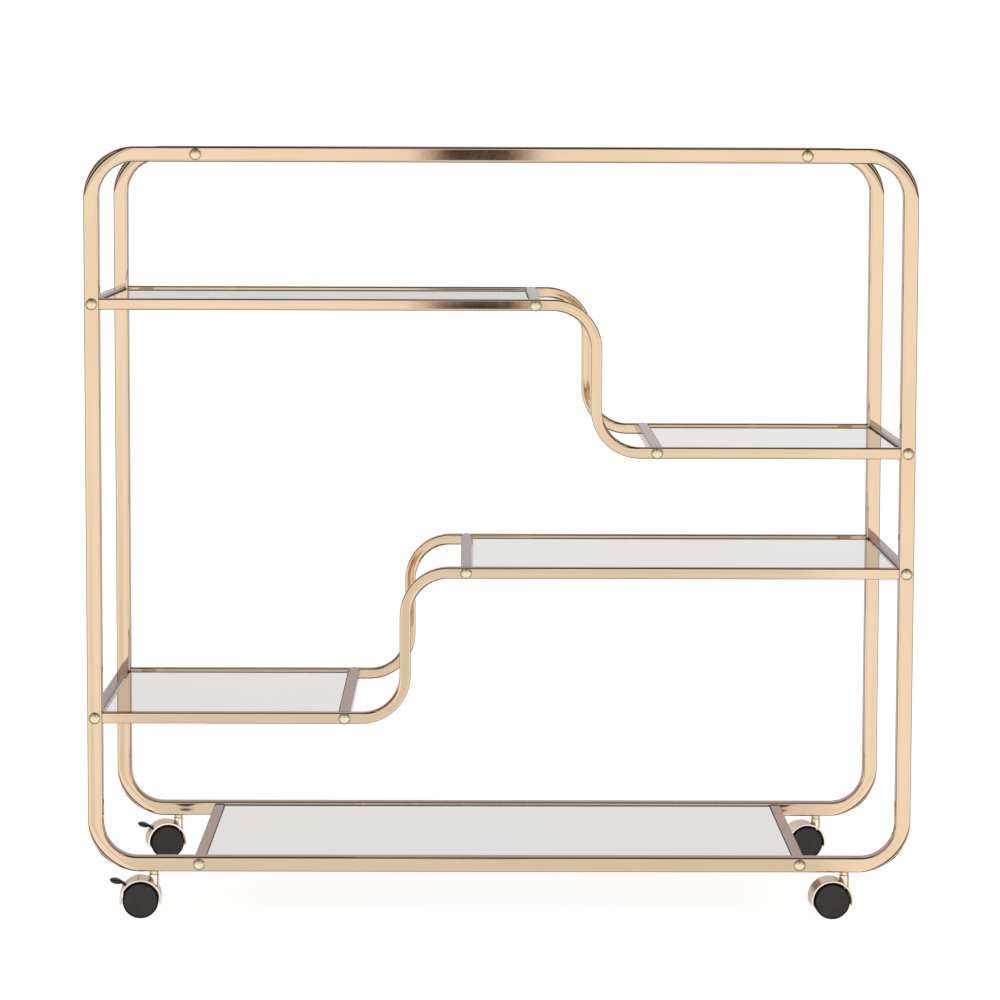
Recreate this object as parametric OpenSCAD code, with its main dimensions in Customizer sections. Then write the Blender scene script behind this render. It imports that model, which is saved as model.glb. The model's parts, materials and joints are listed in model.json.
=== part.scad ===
// Five-shelf bar cart on four hooded twin-wheel casters. Two hoops of bent square tube
// stand front and back. Thinner stepped rails cross each hoop, crossbars join the two
// sides, cap bolts hold the crossbars, and mirror panels rest on lugs between them.
// X runs along the cart, Y from front to back, Z up. The origin is on the floor under
// the middle of the cart.

/* [Frame] */
// Length of the cart over the outer faces of the hoops
cart_length = 870; // [840:1:900]
// Depth of the frame over the front and back hoops
frame_depth = 340; // [300:1:380]
// Height of a hoop from its lowest to its highest face
hoop_height = 764; // [750:1:800]
// Outer radius of the hoops' corners
hoop_corner_r = 52.5; // [44:0.5:60]
// Width of the square tube of the hoops
hoop_tube = 16; // [15:0.5:18]
// Width of the square tube of the step rails and the crossbars
rail_tube = 12; // [11.5:0.5:13]
// Wall thickness of all the tube
tube_wall = 1.2; // [1:0.1:1.5]
// Edge radius of the hoops' tube
hoop_edge_r = 2.4; // [2:0.1:3]
// Edge radius of the rails' tube
rail_edge_r = 1.9; // [1.7:0.1:2.4]

/* [Step rails] */
// Height of the outer shelf levels above and below the hoops' middle
outer_level = 218; // [205:1:230]
// Height of the inner shelf levels above and below the hoops' middle
inner_level = 63.5; // [50:0.5:75]
// Distance of the vertical runs from the cart's middle
step_x = 100; // [80:1:120]
// Centre-line radius of the step rails' bends
step_bend_r = 46.5; // [40:0.5:50]
// Distance of the long shelves' free crossbars from the cart's middle
long_shelf_end_x = 36; // [25:1:45]
// Distance of the short shelves' free crossbars from the cart's middle
short_shelf_end_x = 164; // [155:1:180]
// Distance of the top and bottom crossbars from the cart's middle
end_bar_x = 318; // [300:1:340]

/* [Mirror shelves] */
// Thickness of the mirror panels
mirror_t = 4; // [3:0.5:5]
// Distance of a mirror's face below the top of its rails
mirror_drop = 2.7; // [1.5:0.1:3]
// Gap round each mirror
mirror_gap = 0.6; // [0.4:0.1:1.5]

/* [Cap bolts] */
// Diameter of the domed heads
cap_d = 12.5; // [10:0.5:13]
// Height of the domed heads
cap_h = 3.6; // [2.5:0.1:5]

/* [Casters] */
// Diameter of the wheels
wheel_d = 38; // [36:1:40]
// Distance of the caster stems from the cart's middle
caster_x = 366; // [350:1:370]
// Distance from a stem to its axle
caster_trail = 14.3; // [13.5:0.1:15]
// Swivel angle of the front left caster
front_left_turn = 4; // [0:1:360]
// Swivel angle of the front right caster
front_right_turn = 3; // [0:1:360]
// Swivel angle of the back left caster
back_left_turn = 11; // [0:1:360]
// Swivel angle of the back right caster
back_right_turn = 11; // [0:1:360]

/* [Hidden] */
$fn = 48;
eps = 1;  // how far a cutting shape runs past the face that it cuts

// Casters: heights are above the floor, the rest is measured from the stem's axis.
caster_h = 48.5;
wheel_r = wheel_d / 2;
wheel_face_y = 15;      // outer face of a wheel
wheel_back_y = 5.8;     // inner face of a wheel
wheel_plate_t = 3;      // outer plate of a wheel
wheel_rim_t = 2.6;
wheel_edge_r = 1.3;
wheel_hub_r = 5;
hood_gap = 1.4;         // between the wheels and the hood
hood_t = 2;
hood_half_w = 15.5;
hood_end_drop = 12;     // angle by which the hood ends below the axle
hood_in_r = wheel_r + hood_gap;
hood_r = hood_in_r + hood_t;
web_half_t = 2.2;       // wall between the two wheels
web_end_angle = 112;    // where the wall stops to leave room for the brake
hub_half_w = 5.3;
axle_r = 2.5;
axle_half_l = 11.5;
axle_clear = 0.05;
socket_r = 5.4;         // round boss that holds the stem
socket_bottom = 20;
socket_top = 45;
pin_r = 3;              // stem's plain end, turning in the socket
pin_bottom = 24;
pin_clear = 0.05;
collar_r = 4.8;
groove_z = 27;          // groove for the snap ring
groove_h = 1.4;
groove_r = 2.2;
ring_r = 3.5;
ring_h = 1;
ring_clear = 0.2;
stem_thread_r = 4;
stem_thread_h = 11;
stem_hole_r = 4.3;
nut_across_flats = 11;
nut_h = 6.5;

// Brake: a lever on a pin between the wheels, with a shoe that swings out to their rims.
brake_r = 16.8;         // pin's distance from the axle
brake_angle = 139;      // pin's direction from the axle
brake_pin_r = 1.2;
brake_half_t = 3.2;
brake_hub_r = 3.2;
brake_arm_l = 10.5;
brake_arm_t = 3;
brake_arm_angle = 137;
shoe_arm_l = 6;
shoe_arm_t = 2.4;
shoe_r = 1.2;
shoe_half_l = 9.5;
paddle_l = 12;
paddle_w = 16;
paddle_t = 3;
paddle_angle = 168;
ear_in = 3.5;           // the pair of ears that hold the brake pin
ear_out = 5.5;
ear_r = 2.9;
ear_stem_w = 5;
slot_angles = [131, 152];
slot_half_w = 3.4;

// Frame
hoop_r = hoop_tube / 2;
rail_r = rail_tube / 2;
hoop_y = frame_depth / 2 - hoop_r;     // middle of the back hoop's tube
mid_z = caster_h + hoop_height / 2;
post_x = cart_length / 2 - hoop_r;     // middle of a post
inside_x = cart_length / 2 - hoop_tube;
low_z = caster_h + hoop_r;
high_z = caster_h + hoop_height - hoop_r;

// Bolts
bolt_r = 3;
bolt_hole_r = 3.3;
bolt_rim_h = 0.8;
bolt_reach = 14;        // thread beyond the tube
plug_clear = 0.1;
thread_clear = 0.05;
plug_l = 18;

// Lugs and pads under the mirrors
lug_w = 22;
lug_reach = 11;
lug_t = 1.5;
pad_r = 4;
pad_h = 0.8;
lug_spacing = 220;      // greatest distance between lugs

// A shelf: [x of its left crossbar, x of its right crossbar, height of its rails,
// half the width of its rails' tube]
upper_left = [-post_x, long_shelf_end_x, mid_z + outer_level, rail_r];
upper_right = [short_shelf_end_x, post_x, mid_z + inner_level, rail_r];
lower_right = [-long_shelf_end_x, post_x, mid_z - inner_level, rail_r];
lower_left = [-post_x, -short_shelf_end_x, mid_z - outer_level, rail_r];
bottom = [-end_bar_x, end_bar_x, low_z, hoop_r];
top_bars = [-end_bar_x, end_bar_x, high_z, hoop_r];

// Ends of a shelf's mirror, and the height of its face
function mirror_left(s) =
    (s[0] == -post_x ? -inside_x : s[0] + rail_r) + mirror_gap;
function mirror_right(s) =
    (s[1] == post_x ? inside_x : s[1] - rail_r) - mirror_gap;
function mirror_top(s) = s[2] + s[3] - mirror_drop;
function lug_top(s) = mirror_top(s) - mirror_t - pad_h;
function lug_count(s) = ceil((mirror_right(s) - mirror_left(s)) / lug_spacing);
function lug_x(s) = let (n = lug_count(s), w = mirror_right(s) - mirror_left(s))
    [for (i = [0:n - 1]) mirror_left(s) + w * (i + 0.5) / n];

// Bolt places in the hoops and in the rails: [x, z, half depth of the tube there]
hoop_bolts = [
    for (s = [top_bars, bottom], x = [s[0], s[1]]) [x, s[2], hoop_r],
    for (s = [upper_left, lower_left]) [s[0], s[2], hoop_r],
    for (s = [upper_right, lower_right]) [s[1], s[2], hoop_r]
];
upper_rail_bolts = [
    [upper_left[1], upper_left[2], rail_r],
    [upper_right[0], upper_right[2], rail_r]
];
lower_rail_bolts = [
    [lower_right[0], lower_right[2], rail_r],
    [lower_left[1], lower_left[2], rail_r]
];
all_bolts = concat(hoop_bolts, upper_rail_bolts, lower_rail_bolts);

// Casters: [x, y, swivel angle]
front_left = [-caster_x, -hoop_y, front_left_turn];
front_right = [caster_x, -hoop_y, front_right_turn];
back_left = [-caster_x, hoop_y, back_left_turn];
back_right = [caster_x, hoop_y, back_right_turn];
casters = [front_left, front_right, back_left, back_right];

// ---- Shapes used more than once ----

// Stands a flat drawing up: its Y becomes the cart's Z, and it faces the front.
module upright(y) {
    translate([0, y, 0])
        rotate([90, 0, 0])
            children();
}

module at_caster(c) {
    translate([c[0], c[1], 0])
        rotate(c[2])
            children();
}

// Square with rounded corners, centred
module rounded_square(size, r) {
    square([size, size - 2 * r], center = true);
    square([size - 2 * r, size], center = true);
    for (sx = [-1, 1], sy = [-1, 1])
        translate([sx * (size / 2 - r), sy * (size / 2 - r)])
            circle(r);
}

// Cross-section of a tube
module tube_section(size, edge_r) {
    difference() {
        rounded_square(size, edge_r);
        rounded_square(size - 2 * tube_wall, edge_r - tube_wall);
    }
}

// Straight tube from one end point to the other along X
module tube_along_x(x0, x1, y, size, edge_r) {
    translate([x0, y, 0])
        rotate([0, 90, 0])
            linear_extrude(x1 - x0)
                tube_section(size, edge_r);
}

// Straight tube from one end point to the other along Y
module tube_along_y(x, y0, y1, size, edge_r) {
    translate([x, y0, 0])
        rotate([-90, 0, 0])
            linear_extrude(y1 - y0)
                tube_section(size, edge_r);
}

// Quarter bend round a centre, starting at an angle
module tube_bend(centre, start, bend_r, size, edge_r) {
    translate(centre)
        rotate(start)
            rotate_extrude(angle = 90)
                translate([bend_r, 0])
                    tube_section(size, edge_r);
}

// Round holes for the bolts, through a tube lying in the drawing's plane
module bolt_holes(bolts) {
    for (b = bolts)
        translate([b[0], b[1], 0])
            cylinder(r = bolt_hole_r, h = 2 * (b[2] + eps), center = true);
}

// ---- Frame ----

// Hoop of one bent tube, with bolt holes and two stem holes underneath
module hoop(y) {
    x = cart_length / 2 - hoop_corner_r;
    z = hoop_height / 2 - hoop_corner_r;
    bend_r = hoop_corner_r - hoop_r;
    color("burlywood")
        difference() {
            upright(y)
                translate([0, mid_z, 0]) {
                    for (side = [-1, 1]) {
                        tube_along_x(-x, x, side * (z + bend_r), hoop_tube, hoop_edge_r);
                        tube_along_y(side * (x + bend_r), -z, z, hoop_tube, hoop_edge_r);
                    }
                    tube_bend([x, z], 0, bend_r, hoop_tube, hoop_edge_r);
                    tube_bend([-x, z], 90, bend_r, hoop_tube, hoop_edge_r);
                    tube_bend([-x, -z], 180, bend_r, hoop_tube, hoop_edge_r);
                    tube_bend([x, -z], 270, bend_r, hoop_tube, hoop_edge_r);
                }
            upright(y)
                bolt_holes(hoop_bolts);
            for (side = [-1, 1])
                translate([side * caster_x, y, caster_h - eps])
                    cylinder(r = stem_hole_r, h = tube_wall + 2 * eps);
        }
}

// Step rail: level, quarter bend, vertical run, quarter bend, level. The left and right
// levels are heights of the tube's middle, and the ends butt against the posts.
module step_rail(y, left_z, right_z, run_x, bolts) {
    falls = left_z > right_z;
    left_bend_z = left_z + (falls ? -step_bend_r : step_bend_r);
    right_bend_z = right_z + (falls ? step_bend_r : -step_bend_r);
    color("burlywood")
        upright(y)
            difference() {
                union() {
                    tube_along_x(-inside_x, run_x - step_bend_r, left_z,
                                 rail_tube, rail_edge_r);
                    tube_along_x(run_x + step_bend_r, inside_x, right_z,
                                 rail_tube, rail_edge_r);
                    tube_along_y(run_x, min(left_bend_z, right_bend_z),
                                 max(left_bend_z, right_bend_z), rail_tube, rail_edge_r);
                    tube_bend([run_x - step_bend_r, left_bend_z], falls ? 0 : 270,
                              step_bend_r, rail_tube, rail_edge_r);
                    tube_bend([run_x + step_bend_r, right_bend_z], falls ? 180 : 90,
                              step_bend_r, rail_tube, rail_edge_r);
                }
                bolt_holes(bolts);
            }
}

module upper_step_rail(y) {
    step_rail(y, upper_left[2], upper_right[2], step_x, upper_rail_bolts);
}

module lower_step_rail(y) {
    step_rail(y, lower_left[2], lower_right[2], -step_x, lower_rail_bolts);
}

// Crossbar between the two sides. Half its length is the hoops' distance from the
// middle less the half depth of the tube that it meets.
module crossbar(x, z, met_r) {
    reach = hoop_y - met_r;
    color("rosybrown")
        translate([0, 0, z])
            tube_along_y(x, -reach, reach, rail_tube, rail_edge_r);
}

// Threaded plug pressed into each end of each crossbar
module crossbar_end_plugs() {
    color("gray")
        for (b = all_bolts, side = [-1, 1])
            translate([b[0], side * (hoop_y - b[2] - plug_l / 2), b[1]])
                rotate([90, 0, 0])
                    linear_extrude(plug_l, center = true)
                        difference() {
                            rounded_square(rail_tube - 2 * (tube_wall + plug_clear),
                                           rail_edge_r - tube_wall);
                            circle(bolt_r + thread_clear);
                        }
}

// Bolt with a domed head, pointing along -Z with its seat at the origin
module cap_bolt(tube_depth) {
    dome_h = cap_h - bolt_rim_h;
    dome_r = (pow(cap_d / 2, 2) + pow(dome_h, 2)) / (2 * dome_h);
    cylinder(d = cap_d, h = bolt_rim_h);
    intersection() {
        translate([0, 0, cap_h - dome_r])
            sphere(dome_r);
        translate([0, 0, bolt_rim_h / 2])
            cylinder(d = cap_d, h = cap_h);
    }
    translate([0, 0, -tube_depth - bolt_reach])
        cylinder(r = bolt_r, h = tube_depth + bolt_reach + bolt_rim_h / 2);
}

// All the cap bolts of one side: -1 is the front, 1 the back
module cap_bolts(side) {
    color("khaki")
        for (b = all_bolts)
            translate([b[0], side * (hoop_y + b[2]), b[1]])
                rotate([side * -90, 0, 0])
                    cap_bolt(2 * b[2]);
}

// ---- Mirrors ----

module mirror_panel(s) {
    half_d = hoop_y - s[3] - mirror_gap;
    color("gainsboro")
        translate([mirror_left(s), -half_d, mirror_top(s) - mirror_t])
            cube([mirror_right(s) - mirror_left(s), 2 * half_d, mirror_t]);
}

// Lugs welded to the rails' inner faces, under the mirror
module shelf_lugs(s) {
    color("burlywood")
        for (x = lug_x(s), side = [-1, 1])
            translate([x, side * (hoop_y - s[3] - lug_reach / 2), lug_top(s) - lug_t / 2])
                cube([lug_w, lug_reach, lug_t], center = true);
}

// Clear pads between the lugs and the mirrors
module mirror_pads() {
    color("white")
        for (s = [upper_left, upper_right, lower_right, lower_left, bottom])
            for (x = lug_x(s), side = [-1, 1])
                translate([x, side * (hoop_y - s[3] - lug_reach / 2), lug_top(s)])
                    cylinder(r = pad_r, h = pad_h);
}

// ---- Casters ----

// Puts its children at the wheels' axle, in the plane across it: X stays, Y is up.
module at_axle() {
    translate([-caster_trail, 0, wheel_r])
        rotate([90, 0, 0])
            children();
}

// Puts its children at the brake's pin, in the same plane
module at_brake_pin() {
    at_axle()
        translate([brake_r * cos(brake_angle), brake_r * sin(brake_angle), 0])
            children();
}

// Stem: thread in the hoop, collar, and plain pin with a groove in the socket
module stem(c) {
    color("khaki")
        at_caster(c)
            difference() {
                union() {
                    translate([0, 0, caster_h])
                        cylinder(r = stem_thread_r, h = stem_thread_h);
                    translate([0, 0, socket_top])
                        cylinder(r = collar_r, h = caster_h - socket_top);
                    translate([0, 0, pin_bottom])
                        cylinder(r = pin_r, h = socket_top - pin_bottom);
                }
                translate([0, 0, groove_z])
                    difference() {
                        cylinder(r = pin_r + eps, h = groove_h);
                        cylinder(r = groove_r, h = groove_h);
                    }
            }
}

// Split ring in the stem's groove, which keeps the caster on its stem
module stem_snap_rings() {
    color("silver")
        for (c = casters)
            at_caster(c)
                translate([0, 0, groove_z + (groove_h - ring_h) / 2])
                    rotate_extrude(angle = 330)
                        translate([groove_r + axle_clear, 0])
                            square([ring_r - groove_r - axle_clear, ring_h]);
}

// Nut welded inside the hoop over each stem hole
module stem_weld_nuts() {
    color("gray")
        for (c = casters)
            translate([c[0], c[1], caster_h + tube_wall])
                difference() {
                    cylinder(d = nut_across_flats / cos(30), h = nut_h, $fn = 6);
                    translate([0, 0, -eps])
                        cylinder(r = stem_thread_r + thread_clear, h = nut_h + 2 * eps);
                }
}

// Part of a ring or disc round the axle, between two angles
module sector(r_in, r_out, half_w, from, to) {
    rotate(from)
        rotate_extrude(angle = to - from)
            translate([r_in, -half_w])
                square([r_out - r_in, 2 * half_w]);
}

// Ears that hold the brake's pin, reaching in from the hood
module brake_ears() {
    for (side = [-1, 1])
        at_brake_pin()
            translate([0, 0, side * (ear_in + ear_out) / 2])
                linear_extrude(ear_out - ear_in, center = true) {
                    circle(ear_r);
                    rotate(brake_angle)
                        translate([0, -ear_stem_w / 2])
                            square([hood_in_r + hood_t / 2 - brake_r, ear_stem_w]);
                }
}

// Hood: curved shell, wall between the wheels, axle hub and round socket for the stem
module hood(c, braked) {
    web_end = braked ? web_end_angle : 180 + hood_end_drop;
    color("tan")
        at_caster(c)
            difference() {
                union() {
                    at_axle() {
                        difference() {
                            sector(hood_in_r, hood_r, hood_half_w,
                                   -hood_end_drop, 180 + hood_end_drop);
                            if (braked)
                                sector(hood_in_r - eps, hood_r + eps, slot_half_w,
                                       slot_angles[0], slot_angles[1]);
                        }
                        sector(0, hood_in_r + hood_t / 2, web_half_t,
                               -hood_end_drop, web_end);
                        cylinder(r = wheel_hub_r, h = 2 * hub_half_w, center = true);
                    }
                    translate([0, 0, socket_bottom])
                        cylinder(r = socket_r, h = socket_top - socket_bottom);
                    if (braked)
                        brake_ears();
                }
                at_axle()
                    cylinder(r = axle_r, h = 2 * hood_half_w, center = true);
                translate([0, 0, pin_bottom - eps])
                    cylinder(r = pin_r + pin_clear, h = socket_top - pin_bottom + 2 * eps);
                translate([0, 0, groove_z - ring_clear])
                    cylinder(r = ring_r + ring_clear, h = groove_h + 2 * ring_clear);
                if (braked)
                    at_brake_pin()
                        cylinder(r = brake_pin_r, h = 2 * hood_half_w, center = true);
            }
}

module axle(c) {
    color("silver")
        at_caster(c)
            at_axle()
                cylinder(r = axle_r, h = 2 * axle_half_l, center = true);
}

// Half profile of a wheel, from the axle's line outwards: X is the radius, Y the way
// from the inner face to the outer face
module wheel_profile() {
    width = wheel_face_y - wheel_back_y;
    difference() {
        union() {
            square([wheel_r - wheel_edge_r, width]);
            square([wheel_r, width - wheel_edge_r]);
            translate([wheel_r - wheel_edge_r, width - wheel_edge_r])
                circle(wheel_edge_r);
        }
        translate([wheel_hub_r, -eps])
            square([wheel_r - wheel_rim_t - wheel_hub_r, width - wheel_plate_t + eps]);
        translate([-eps, -eps])
            square([axle_r + axle_clear + eps, axle_half_l - wheel_back_y + 2 * eps]);
    }
}

// Wheel open to the inside, with a closed outer face: -1 is the front one, 1 the back one
module wheel(c, side) {
    color("dimgray")
        at_caster(c)
            at_axle()
                rotate([side > 0 ? 180 : 0, 0, 0])
                    translate([0, 0, wheel_back_y])
                        rotate_extrude()
                            wheel_profile();
}

// Lever: hub, arm and paddle outside the hood, shoe arm and shoe inside it
module brake_lever(c) {
    color("black")
        at_caster(c)
            at_brake_pin()
                difference() {
                    union() {
                        cylinder(r = brake_hub_r, h = 2 * brake_half_t, center = true);
                        rotate(brake_arm_angle)
                            translate([0, -brake_arm_t / 2, -brake_half_t])
                                cube([brake_arm_l, brake_arm_t, 2 * brake_half_t]);
                        translate([0, -shoe_arm_t / 2, -brake_half_t])
                            cube([shoe_arm_l, shoe_arm_t, 2 * brake_half_t]);
                        translate([shoe_arm_l, 0, 0])
                            cylinder(r = shoe_r, h = 2 * shoe_half_l, center = true);
                        rotate(brake_arm_angle)
                            translate([brake_arm_l - brake_arm_t / 2, 0, 0])
                                rotate(paddle_angle - brake_arm_angle)
                                    paddle();
                    }
                    cylinder(r = brake_pin_r + axle_clear, h = 2 * brake_half_t + 2 * eps,
                             center = true);
                }
}

// Flat paddle with rounded sides, from its root along X
module paddle() {
    translate([paddle_l / 2, 0, 0])
        rotate([90, 0, 0])
            linear_extrude(paddle_t, center = true)
                intersection() {
                    circle(paddle_w / 2);
                    square([paddle_l, paddle_w], center = true);
                }
}

module brake_pin(c) {
    color("silver")
        at_caster(c)
            at_brake_pin()
                cylinder(r = brake_pin_r, h = 2 * ear_out, center = true);
}

hoop(-hoop_y);  // front_hoop
hoop(hoop_y);  // back_hoop
upper_step_rail(-hoop_y);  // front_upper_step_rail
upper_step_rail(hoop_y);  // back_upper_step_rail
lower_step_rail(-hoop_y);  // front_lower_step_rail
lower_step_rail(hoop_y);  // back_lower_step_rail
crossbar(top_bars[0], top_bars[2], hoop_r);  // top_left_crossbar
crossbar(top_bars[1], top_bars[2], hoop_r);  // top_right_crossbar
crossbar(upper_left[0], upper_left[2], hoop_r);  // upper_left_shelf_outer_crossbar
crossbar(upper_left[1], upper_left[2], rail_r);  // upper_left_shelf_inner_crossbar
crossbar(upper_right[0], upper_right[2], rail_r);  // upper_right_shelf_inner_crossbar
crossbar(upper_right[1], upper_right[2], hoop_r);  // upper_right_shelf_outer_crossbar
crossbar(lower_right[0], lower_right[2], rail_r);  // lower_right_shelf_inner_crossbar
crossbar(lower_right[1], lower_right[2], hoop_r);  // lower_right_shelf_outer_crossbar
crossbar(lower_left[0], lower_left[2], hoop_r);  // lower_left_shelf_outer_crossbar
crossbar(lower_left[1], lower_left[2], rail_r);  // lower_left_shelf_inner_crossbar
crossbar(bottom[0], bottom[2], hoop_r);  // bottom_shelf_left_crossbar
crossbar(bottom[1], bottom[2], hoop_r);  // bottom_shelf_right_crossbar
crossbar_end_plugs();
cap_bolts(-1);  // front_cap_bolts
cap_bolts(1);  // back_cap_bolts
mirror_panel(upper_left);  // upper_left_mirror
mirror_panel(upper_right);  // upper_right_mirror
mirror_panel(lower_right);  // lower_right_mirror
mirror_panel(lower_left);  // lower_left_mirror
mirror_panel(bottom);  // bottom_mirror
shelf_lugs(upper_left);  // upper_left_shelf_lugs
shelf_lugs(upper_right);  // upper_right_shelf_lugs
shelf_lugs(lower_right);  // lower_right_shelf_lugs
shelf_lugs(lower_left);  // lower_left_shelf_lugs
shelf_lugs(bottom);  // bottom_shelf_lugs
mirror_pads();
stem_weld_nuts();
stem_snap_rings();
stem(front_left);  // front_left_stem
hood(front_left, true);  // front_left_hood
axle(front_left);  // front_left_axle
wheel(front_left, -1);  // front_left_front_wheel
wheel(front_left, 1);  // front_left_back_wheel
brake_lever(front_left);  // front_left_brake_lever
brake_pin(front_left);  // front_left_brake_pin
stem(front_right);  // front_right_stem
hood(front_right, false);  // front_right_hood
axle(front_right);  // front_right_axle
wheel(front_right, -1);  // front_right_front_wheel
wheel(front_right, 1);  // front_right_back_wheel
stem(back_left);  // back_left_stem
hood(back_left, true);  // back_left_hood
axle(back_left);  // back_left_axle
wheel(back_left, -1);  // back_left_front_wheel
wheel(back_left, 1);  // back_left_back_wheel
brake_lever(back_left);  // back_left_brake_lever
brake_pin(back_left);  // back_left_brake_pin
stem(back_right);  // back_right_stem
hood(back_right, false);  // back_right_hood
axle(back_right);  // back_right_axle
wheel(back_right, -1);  // back_right_front_wheel
wheel(back_right, 1);  // back_right_back_wheel
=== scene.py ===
"""Looks of a tiered bar cart: polished tube hoops and stepped rails, mirror shelves and
hooded twin-wheel casters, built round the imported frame."""

import json
import math

import bmesh
import bpy
import numpy as np
from bpy.props import FloatProperty, FloatVectorProperty, IntProperty, PointerProperty
from mathutils import Matrix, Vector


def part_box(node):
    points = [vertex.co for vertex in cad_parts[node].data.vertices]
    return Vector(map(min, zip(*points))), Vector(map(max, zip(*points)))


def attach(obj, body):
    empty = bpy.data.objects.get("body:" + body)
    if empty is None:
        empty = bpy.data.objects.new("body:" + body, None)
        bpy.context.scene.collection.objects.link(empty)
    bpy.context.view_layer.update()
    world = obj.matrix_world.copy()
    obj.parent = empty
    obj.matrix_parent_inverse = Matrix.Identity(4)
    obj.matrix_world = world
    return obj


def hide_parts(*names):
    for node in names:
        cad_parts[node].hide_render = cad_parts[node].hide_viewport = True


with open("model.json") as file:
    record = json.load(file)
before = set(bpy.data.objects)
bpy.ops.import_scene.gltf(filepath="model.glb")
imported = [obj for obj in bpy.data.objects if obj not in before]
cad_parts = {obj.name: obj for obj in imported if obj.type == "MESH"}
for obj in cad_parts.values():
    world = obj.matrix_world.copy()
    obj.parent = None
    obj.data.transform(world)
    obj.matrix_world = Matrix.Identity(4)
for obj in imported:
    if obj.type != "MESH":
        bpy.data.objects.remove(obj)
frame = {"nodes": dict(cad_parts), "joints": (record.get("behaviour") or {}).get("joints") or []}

bl_info = {
    "name": "Tiered Bar Cart",
    "version": (1, 0, 0),
    "blender": (4, 5, 0),
    "location": "View3D > Sidebar > Bar Cart",
    "description": "Builds the pieces of a tube and mirror bar cart round its frame",
    "category": "Add Mesh",
}

SIDES = (("front", -1), ("back", 1))
SHELVES = ("upper_left", "upper_right", "lower_right", "lower_left")
CASTERS = ("front_left", "front_right", "back_left", "back_right")
SHARP_ANGLE = math.radians(40)  # edges that turn more than this are shaded as creases
FLAT_LEAD = 0.0004              # width of the strip that blends a flat into its arc
MERGE_DISTANCE = 1e-7
SOLID_GAP = 0.03                # separate solids of one node stand further apart than this
FAINT, SLIGHT, SOFT = 0.0002, 0.0003, 0.0006  # roundings of small edges
MIX_SOCKETS = {"FLOAT": (0, 2, 3, 0), "RGBA": (0, 6, 7, 2)}  # factor, first, second, result


# ---- Settings ----

def length(name, default, description):
    """Length property in metres."""
    return FloatProperty(name=name, default=default, description=description,
                         unit="LENGTH", precision=5, min=0)


def angle(name, degrees, description):
    """Angle property, given in degrees."""
    return FloatProperty(name=name, default=math.radians(degrees), description=description,
                         subtype="ANGLE")


def colour(name, default, description):
    """Linear RGB colour property."""
    return FloatVectorProperty(name=name, default=default, description=description,
                               subtype="COLOR", size=3, min=0, max=1)


class CartTubeSettings(bpy.types.PropertyGroup):
    """Sizes of the bent tubes that the frame's boxes don't give."""

    hoop_corner_radius: length("Hoop corner radius", 0.0525, "Outer radius of a hoop's corners")
    hoop_edge_radius: length("Hoop edge radius", 0.0024, "Rounding of the hoop tube's edges")
    rail_edge_radius: length("Rail edge radius", 0.0019, "Rounding of the rail tube's edges")
    hoop_bend_edge: length("Hoop bend edge", 0.0095, "Outer rounding at a hoop bend's middle")
    rail_bend_edge: length("Rail bend edge", 0.0045, "Inner rounding at a step bend's middle")
    dish: length("Dish", 0.00002, "How far the middle of a flat face lies below its edges")
    step_bend_radius: length("Step bend radius", 0.0465, "Centre-line radius of a step's bends")
    step_offset: length("Step offset", 0.1, "Distance of the vertical runs from the middle")
    edge_steps: IntProperty(name="Edge steps", default=8, min=2, max=16,
                            description="Faces across each rounded edge of a tube")
    bend_steps: IntProperty(name="Bend steps", default=32, min=8, max=64,
                            description="Faces along each bend of a tube")


class CartFittingSettings(bpy.types.PropertyGroup):
    """Sizes of the bolts, mirrors, lugs and pads."""

    cap_radius: length("Cap radius", 0.00625, "Radius of a cap bolt's domed head")
    cap_height: length("Cap height", 0.0036, "Height of a cap bolt's domed head")
    cap_rim: length("Cap rim", 0.0008, "Height of the straight rim under the dome")
    bolt_radius: length("Bolt radius", 0.003, "Radius of a cap bolt's shank")
    mirror_corner: length("Mirror corner", 0.002, "Corner radius of a mirror panel")
    mirror_arris: length("Mirror arris", 0.0006, "Width of the ground edge of a mirror panel")
    lug_corner: length("Lug corner", 0.003, "Radius of a lug's free corners")
    weld_radius: length("Weld radius", 0.001, "Radius of the weld bead under a lug")


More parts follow.
